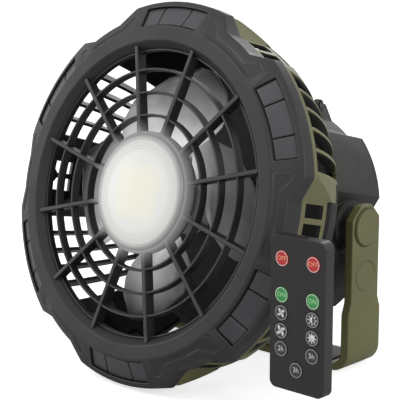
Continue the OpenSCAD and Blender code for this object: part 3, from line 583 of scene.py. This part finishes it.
def soften(piece, width_mm, segments=2):
    """Breaks the sharp edges by a small radius, as a moulding tool does."""
    edge = piece.modifiers.new("broken_edge", "BEVEL")
    edge.width = width_mm * MM
    edge.segments = segments
    edge.limit_method = "ANGLE"
    edge.angle_limit = math.radians(32)
    edge.use_clamp_overlap = False
    flat = piece.modifiers.new("flat_faces", "WEIGHTED_NORMAL")
    flat.weight = 80


def rounded(node, body, finish, width_mm, segments=2, merge_flats=True):
    """A copy of a CAD part, merged, with its edges broken. It takes the part's place.
    merge_flats stays off for a part whose flat faces have many holes, because merging would fill them."""
    mesh = bmesh.new()
    mesh.from_mesh(nodes[node].data)
    bmesh.ops.remove_doubles(mesh, verts=mesh.verts, dist=MERGE)
    if merge_flats:
        nearly_flat = math.radians(0.6)
        bmesh.ops.dissolve_limit(mesh, angle_limit=nearly_flat, verts=mesh.verts, edges=mesh.edges)
    piece = make_piece(node + "_moulded", mesh, body, finish)
    soften(piece, width_mm, segments)
    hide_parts(node)


# ---- Mouldings with broken edges ---------------------------------------------------------

rounded("bracket", "stand", olive, 0.6)
rounded("pivot_caps", "stand", olive, 0.7, segments=3)
rounded("base_insert", "stand", grey_pad, 0.5)
rounded("front_bezel", "head", charcoal, 0.5)
rounded("window_pads", "head", pad_abs, 0.7, segments=3)
rounded("front_grille", "head", grille_black, 0.35, merge_flats=False)
rounded("lamp_housing", "head", lamp_grey, 0.5)
rounded("vent_shell", "head", vent_olive, 0.35)
rounded("vent_struts", "head", inner_black, 0.3)
rounded("rear_housing", "head", housing_abs, 0.5)
rounded("rear_cover", "head", charcoal, 0.4, merge_flats=False)
rounded("port_flap", "port_flap", soft_dark, 0.35)
rounded("fan_button", "fan_button", soft_dark, 0.5, segments=3)
rounded("lamp_button", "lamp_button", soft_light, 0.5, segments=3)
rounded("impeller", "rotor", blade_smoke, 0.3)
rounded("hub_cap", "rotor", inner_black, 0.2)
rounded("remote_face", "remote", face_film, 0.12)
rounded("remote_tray", "remote_drawer", remote_abs, 0.12)

KEY_FINISH = {"key_red": key_red, "key_green": key_green, "key_grey": key_dark}
# Each key: its colour slot, column and row on the remote, and the legend in its middle
KEYS = {
    "key_wind_off": ("key_red", -1, 0, "OFF"),
    "key_lamp_off": ("key_red", 1, 0, "OFF"),
    "key_wind_on": ("key_green", -1, 2, "ON"),
    "key_lamp_on": ("key_green", 1, 2, "ON"),
    "key_wind_low": ("key_grey", -1, 3, "small_fan"),
    "key_lamp_low": ("key_grey", 1, 3, "half_sun"),
    "key_wind_high": ("key_grey", -1, 4, "large_fan"),
    "key_lamp_high": ("key_grey", 1, 4, "full_sun"),
    "key_2h": ("key_grey", -1, 5, "2h"),
    "key_5h": ("key_grey", 1, 5, "5h"),
    "key_3h": ("key_grey", 0, 6, "3h"),
}
for key, (key_slot, column, row, legend) in KEYS.items():
    rounded(key, key, KEY_FINISH[key_slot], 0.22, segments=3)

# ---- Marks and print ---------------------------------------------------------------------

# How far ink stands on a surface
INK = 0.02


def raise_faces(mesh, faces, height_mm):
    """Gives flat faces in the XY plane a thickness, as a closed solid."""
    top = bmesh.ops.extrude_face_region(mesh, geom=faces, use_keep_orig=True)["geom"]
    bmesh.ops.translate(mesh, vec=(0, 0, height_mm * MM), verts=verts_in(top))


def ring_band(mesh, inner_mm, outer_mm, height_mm):
    """A flat band round the origin, raised by its height."""
    before = set(mesh.faces)
    rim = bmesh.ops.create_circle(mesh, cap_ends=False, segments=48, radius=inner_mm * MM)["verts"]
    edges = once(e for v in rim for e in v.link_edges)
    outer = verts_in(bmesh.ops.extrude_edge_only(mesh, edges=edges)["geom"])
    bmesh.ops.scale(mesh, vec=(outer_mm / inner_mm, outer_mm / inner_mm, 1), verts=outer)
    raise_faces(mesh, [f for f in mesh.faces if f not in before], height_mm)


def disc(mesh, radius_mm, height_mm, centre=(0, 0), stretch=(1, 1), turn=0.0, segments=32):
    """A flat round or oval mark, turned about its own middle."""
    before = set(mesh.faces)
    place = (
        Matrix.Translation((centre[0] * MM, centre[1] * MM, 0))
        @ Matrix.Rotation(turn, 4, "Z")
        @ Matrix.Diagonal((*stretch, 1, 1))
    )
    bmesh.ops.create_circle(
        mesh, cap_ends=True, segments=segments, radius=radius_mm * MM, matrix=place
    )
    raise_faces(mesh, [f for f in mesh.faces if f not in before], height_mm)


def lettering(mesh, text, size_mm, height_mm):
    """Plain sans lettering, centred on the origin."""
    curve = bpy.data.curves.new("lettering", "FONT")
    curve.body = text
    curve.size = size_mm * MM
    curve.align_x = "CENTER"
    curve.align_y = "CENTER"
    curve.extrude = height_mm * MM / 2
    curve.resolution_u = 3
    source = bpy.data.objects.new("lettering", curve)
    flat = bpy.data.meshes.new_from_object(source)
    flat.transform(Matrix.Translation((0, 0, height_mm * MM / 2)))
    mesh.from_mesh(flat)
    bmesh.ops.remove_doubles(mesh, verts=mesh.verts, dist=MERGE)
    bpy.data.objects.remove(source)
    bpy.data.meshes.remove(flat)


def fan_mark(mesh, size_mm, height_mm, blades):
    """Leaf-shaped blades round a hub, as shares of the mark's size."""
    disc(mesh, size_mm * 0.16, height_mm)
    for k in range(blades):
        angle = 2 * math.pi * (k + 0.25) / blades
        centre = (size_mm * 0.5 * math.cos(angle + 0.3), size_mm * 0.5 * math.sin(angle + 0.3))
        disc(mesh, size_mm * 0.38, height_mm, centre, (1, 0.6), angle - 0.1)


def sun_mark(mesh, size_mm, height_mm, half):
    """A disc, or half a disc inside a ring, with eight short rays, as shares of the mark's size."""
    before = set(mesh.verts)
    disc(mesh, size_mm * 0.6, height_mm)
    if half:
        verts = [v for v in mesh.verts if v not in before]
        edges = once(e for v in verts for e in v.link_edges)
        faces = once(f for v in verts for f in v.link_faces)
        cut = bmesh.ops.bisect_plane(
            mesh, geom=verts + edges + faces, plane_co=(0, 0, 0), plane_no=(1, 0, 0), clear_outer=True
        )
        rim = [g for g in cut["geom_cut"] if isinstance(g, bmesh.types.BMEdge)]
        bmesh.ops.holes_fill(mesh, edges=rim)
        ring_band(mesh, size_mm * 0.52, size_mm * 0.6, height_mm)
    for k in range(8):
        angle = math.radians(45 * k)
        centre = (size_mm * 0.76 * math.cos(angle), size_mm * 0.76 * math.sin(angle))
        disc(mesh, size_mm * 0.16, height_mm, centre, (1, 0.75), angle, 12)


REMOTE_X = 120.5
# The keys' tops, and the height of the first row: down from the remote's upper end
REMOTE_FRONT = -112.85
REMOTE_FOOT = 23.3
REMOTE_HEIGHT = 80.7
FIRST_ROW_DOWN = 11.8
KEY_STEP_X = 10
KEY_STEP_Z = 9.5
# The printed ring's inner and outer radius, and each legend's size
KEY_RING = (3.5, 3.86)
LEGEND_SIZE = {
    "OFF": 3.4, "ON": 3.4, "2h": 3.9, "3h": 3.9, "5h": 3.9,
    "small_fan": 3.1, "large_fan": 3.6, "half_sun": 3.2, "full_sun": 3.2,
}


def key_place(column, row):
    """The frame on a key's top: X to the right, Y up, Z out of the remote."""
    height = REMOTE_FOOT + REMOTE_HEIGHT - FIRST_ROW_DOWN - row * KEY_STEP_Z
    at = Vector((REMOTE_X + column * KEY_STEP_X, REMOTE_FRONT, height)) * MM
    return Matrix.Translation(at) @ Matrix.Rotation(math.pi / 2, 4, "X")


def print_keys():
    """Each key's printed ring and legend."""
    ring_ink = {"key_red": ink_white, "key_green": ink_white, "key_grey": ink_grey}
    legend_ink = {"key_red": ink_amber, "key_green": ink_lime, "key_grey": ink_white}
    for name, (slot, column, row, legend) in KEYS.items():
        place = key_place(column, row)
        mesh = bmesh.new()
        ring_band(mesh, *KEY_RING, INK)
        make_piece(name + "_ring", mesh, name, ring_ink[slot], place)
        mesh = bmesh.new()
        if legend.endswith("_fan"):
            fan_mark(mesh, LEGEND_SIZE[legend], INK, blades=4)
        elif legend.endswith("_sun"):
            sun_mark(mesh, LEGEND_SIZE[legend], INK, half=legend == "half_sun")
        else:
            lettering(mesh, legend, LEGEND_SIZE[legend], INK)
        make_piece(name + "_legend", mesh, name, legend_ink[slot], place)


print_keys()

# ---- Lamp --------------------------------------------------------------------------------

# The lens stands this far out at its rim, and swells by the rise to its middle
LENS_EDGE = 0.6
LENS_RISE = 1.4
BEAD_ROWS = (24.3, 26.0, 27.7)
BEAD_PITCH = 1.75
BEAD_R = 0.62
BEAD_FLATNESS = 0.55


def lens_beads():
    """Three rows of small optical beads moulded round the lens, which sparkle as a fine ring."""
    mesh = bmesh.new()
    for row, radius in enumerate(BEAD_ROWS):
        count = round(2 * math.pi * radius / BEAD_PITCH)
        height = LENS_EDGE + LENS_RISE * (1 - (radius / LENS_R) ** 2)
        for k in range(count):
            # Each row stands half a bead off the one before
            angle = 2 * math.pi * (k + row / 2) / count
            at = Vector((radius * math.cos(angle), radius * math.sin(angle), height)) * MM
            place = Matrix.Translation(at) @ Matrix.Diagonal((1, 1, BEAD_FLATNESS, 1))
            bmesh.ops.create_uvsphere(mesh, u_segments=8, v_segments=5, radius=BEAD_R * MM, matrix=place)
    make_piece("lens_beads", mesh, "head", bead_lit, AXIAL)


lens_beads()

# ---- Rear controls -----------------------------------------------------------------------

BUTTON_X = 15
BUTTON_Y = 14
BUTTON_PROUD = 1.6
# The cover's screws: where they stand from the axis, then the head, the shank and its point
COVER_SCREW_AT = 60.5
SCREW_R = 2.8
SCREW_PROUD = 1.4
SHANK_R = 1.5
SHANK_LENGTH = 7.5
POINT_LENGTH = 1.5
POINT_SHARE = 0.4


def cross_head(mesh, at_mm, turn):
    """A screw head with a pressed cross recess."""
    start = set(mesh.verts)
    bmesh.ops.create_cone(
        mesh,
        cap_ends=True,
        segments=24,
        radius1=SCREW_R * MM,
        radius2=SCREW_R * 0.84 * MM,
        depth=SCREW_PROUD * MM,
        matrix=Matrix.Translation((0, 0, SCREW_PROUD * MM / 2)),
    )
    # The cross: half the width of its arms, and how far they reach
    half, reach = SCREW_R * 0.13 * MM, SCREW_R * 0.55 * MM
    for axis in (0, 1):
        for offset in (-reach, -half, half, reach):
            point, normal = Vector((0, 0, 0)), Vector((0, 0, 0))
            point[axis], normal[axis] = offset, 1
            faces = [f for f in mesh.faces if not start & set(f.verts) and f.normal.z > 0.9]
            edges = once(e for f in faces for e in f.edges)
            verts = once(v for f in faces for v in f.verts)
            bmesh.ops.bisect_plane(
                mesh, geom=verts + edges + faces, plane_co=point, plane_no=normal, dist=1e-7
            )
    recess = []
    for face in mesh.faces:
        if start & set(face.verts) or face.normal.z < 0.9:
            continue
        c = face.calc_center_median()
        if max(abs(c.x), abs(c.y)) < reach and min(abs(c.x), abs(c.y)) < half:
            recess.append(face)
    floor = verts_in(bmesh.ops.extrude_face_region(mesh, geom=recess)["geom"])
    # The old faces would stay as a lid over the recess
    bmesh.ops.delete(mesh, geom=[f for f in recess if f.is_valid], context="FACES_ONLY")
    bmesh.ops.translate(mesh, vec=(0, 0, -SCREW_PROUD * 0.7 * MM), verts=floor)
    bmesh.ops.scale(mesh, vec=(0.7, 0.7, 1), verts=floor)
    place = Matrix.Translation((at_mm[0] * MM, at_mm[1] * MM, 0)) @ Matrix.Rotation(turn, 4, "Z")
    bmesh.ops.transform(mesh, matrix=place, verts=[v for v in mesh.verts if v not in start])


def screw_shank(mesh, at_mm):
    """The shank that runs down into the housing's boss, drawn in to a short point."""
    start = set(mesh.verts)
    bmesh.ops.create_cone(
        mesh,
        cap_ends=True,
        segments=16,
        radius1=SHANK_R * MM,
        radius2=SHANK_R * MM,
        depth=SHANK_LENGTH * MM,
        matrix=Matrix.Translation((0, 0, -SHANK_LENGTH * MM / 2)),
    )
    end = [f for f in mesh.faces if not start & set(f.verts) and f.normal.z < -0.9]
    edges = list(end[0].edges)
    tip = verts_in(bmesh.ops.extrude_face_region(mesh, geom=end + edges)["geom"])
    bmesh.ops.translate(mesh, vec=(0, 0, -POINT_LENGTH * MM), verts=tip)
    bmesh.ops.scale(mesh, vec=(POINT_SHARE, POINT_SHARE, 1), verts=tip)
    moved = [v for v in mesh.verts if v not in start]
    bmesh.ops.translate(mesh, vec=(at_mm[0] * MM, at_mm[1] * MM, 0), verts=moved)


def cover_screw_heads():
    """The six screws of the rear cover, each driven to a different turn."""
    mesh = bmesh.new()
    for k in range(6):
        angle = math.radians(60 * k)
        at = (COVER_SCREW_AT * math.cos(angle), COVER_SCREW_AT * math.sin(angle))
        cross_head(mesh, at, 0.4 + 1.1 * k)
        screw_shank(mesh, at)
    piece = make_piece("cover_screw_heads", mesh, "head", zinc, REAR)
    soften(piece, 0.15)
    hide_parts("cover_screws")


def button_marks():
    """A fan printed on one rear button and a sun on the other."""
    for x, name, slot in ((BUTTON_X, "fan_button", "dark_button"), (-BUTTON_X, "lamp_button", "light_button")):
        mesh = bmesh.new()
        if name == "fan_button":
            fan_mark(mesh, 4.2, INK, blades=3)
        else:
            sun_mark(mesh, 4.0, INK, half=False)
        place = REAR @ Matrix.Translation((x * MM, BUTTON_Y * MM, BUTTON_PROUD * MM))
        make_piece(name + "_mark", mesh, name, ink_grey, place)


def bar(mesh, middle_mm, size_mm):
    """A straight bar. The piece breaks its edges afterwards."""
    place = Matrix.Translation(Vector(middle_mm) * MM) @ Matrix.Diagonal((*(s * MM for s in size_mm), 1))
    bmesh.ops.create_cube(mesh, size=1.0, matrix=place)


RIB_SIZE = (16, 0.7, 0.5)
RIB_TOP_Y = -31.2
RIB_PITCH = 1.6
RIB_Z = 2.2


def flap_ribs():
    """Four finger ribs across the lower part of the port flap."""
    mesh = bmesh.new()
    for k in range(4):
        bar(mesh, (0, RIB_TOP_Y - RIB_PITCH * k, RIB_Z), RIB_SIZE)
    soften(make_piece("port_flap_ribs", mesh, "port_flap", soft_dark, REAR), 0.2)


PORT_Y = -34
# The middle of a tongue, behind the cover's outside, and how long it and its contacts run
TONGUE_Z = -4.2
TONGUE_LENGTH = 5.2
CONTACT_LENGTH = 4.6
CONTACT_THICK = 0.12
# A contact's share of the space it has
CONTACT_SHARE = 0.55


def port_tongue(name, x_mm, size_mm, contacts):
    """The tongue inside a socket, with its row of contacts."""
    width, height = size_mm
    mesh = bmesh.new()
    bar(mesh, (x_mm, PORT_Y, TONGUE_Z), (width, height, TONGUE_LENGTH))
    soften(make_piece(name + "_tongue", mesh, "head", inner_black, REAR), 0.15)
    mesh = bmesh.new()
    pitch = width / (contacts + 1)
    for k in range(contacts):
        middle = (x_mm + (k - (contacts - 1) / 2) * pitch, PORT_Y - height / 2, TONGUE_Z)
        bar(mesh, middle, (pitch * CONTACT_SHARE, CONTACT_THICK, CONTACT_LENGTH))
    soften(make_piece(name + "_contacts", mesh, "head", gold, REAR), 0.04)


cover_screw_heads()
button_marks()
flap_ribs()
port_tongue("charge_port", 9, (6.4, 0.7), 6)
port_tongue("output_port", -9, (10.4, 1.8), 4)

# ---- Stage and light, in metres and watts ------------------------------------------------

WHITE = linear("ffffff")
FLOOR_GLOW = 0.68
WORLD_LEVEL = 0.5


def make_stage():
    """A pale floor: it gives back what falls on it, and glows to the camera alone, so it reads as paper."""
    mesh = bmesh.new()
    bmesh.ops.create_grid(mesh, x_segments=1, y_segments=1, size=6.0)
    data = bpy.data.meshes.new("floor")
    mesh.to_mesh(data)
    mesh.free()
    floor = bpy.data.objects.new("floor", data)
    # A hair below the object, so that no face lies in another
    floor.location.z = -0.5 * MM
    bpy.context.scene.collection.objects.link(floor)
    values = {"Base Color": linear("dcdcdc"), "Roughness": 0.9, "Emission Color": WHITE}
    material, tree, shader = new_material("paper_white_floor", values)
    seen = add(tree, "LightPath").outputs["Is Camera Ray"]
    glow = add(tree, "MapRange", (seen, 0, 1, 0.0, FLOOR_GLOW)).outputs[0]
    tree.links.new(glow, shader.inputs["Emission Strength"])
    data.materials.append(material)


def area_light(name, place, target, size, power):
    """A round soft light that looks at the target."""
    data = bpy.data.lights.new(name, "AREA")
    data.shape = "DISK"
    data.size = size
    data.energy = power
    lamp = bpy.data.objects.new(name, data)
    lamp.location = place
    lamp.rotation_euler = (Vector(target) - Vector(place)).to_track_quat("-Z", "Y").to_euler()
    lamp.visible_camera = False
    bpy.context.scene.collection.objects.link(lamp)


def make_world():
    """White where the camera sees it, straight, in a mirror or through glass, and softer as a light."""
    world = bpy.data.worlds.new("studio")
    bpy.context.scene.world = world
    world.use_nodes = True
    tree = world.node_tree
    background = tree.nodes["Background"]
    background.inputs["Color"].default_value = WHITE
    path = add(tree, "LightPath").outputs
    seen = add(tree, "Math", (path["Is Camera Ray"], path["Is Glossy Ray"]), operation="ADD").outputs[0]
    seen = add(tree, "Math", (seen, path["Is Transmission Ray"]), operation="ADD").outputs[0]
    strength = add(tree, "MapRange", (seen, 0, 1, WORLD_LEVEL, 1.0)).outputs[0]
    tree.links.new(strength, background.inputs["Strength"])


make_stage()
make_world()
# Each light: where it hangs, what it looks at, its width and its power
area_light("key", (-0.5, -1.2, 1.3), (0, -0.05, 0.1), 1.0, 10)
area_light("left_fill", (-1.3, -0.7, 0.35), (0, -0.05, 0.1), 0.7, 4)
area_light("back_fill", (-0.7, 1.4, 0.9), (0, 0, 0.1), 0.9, 5)
area_light("side", (1.3, -0.2, 0.7), (0, -0.05, 0.1), 0.8, 9)
bpy.context.scene.view_settings.view_transform = "Standard"
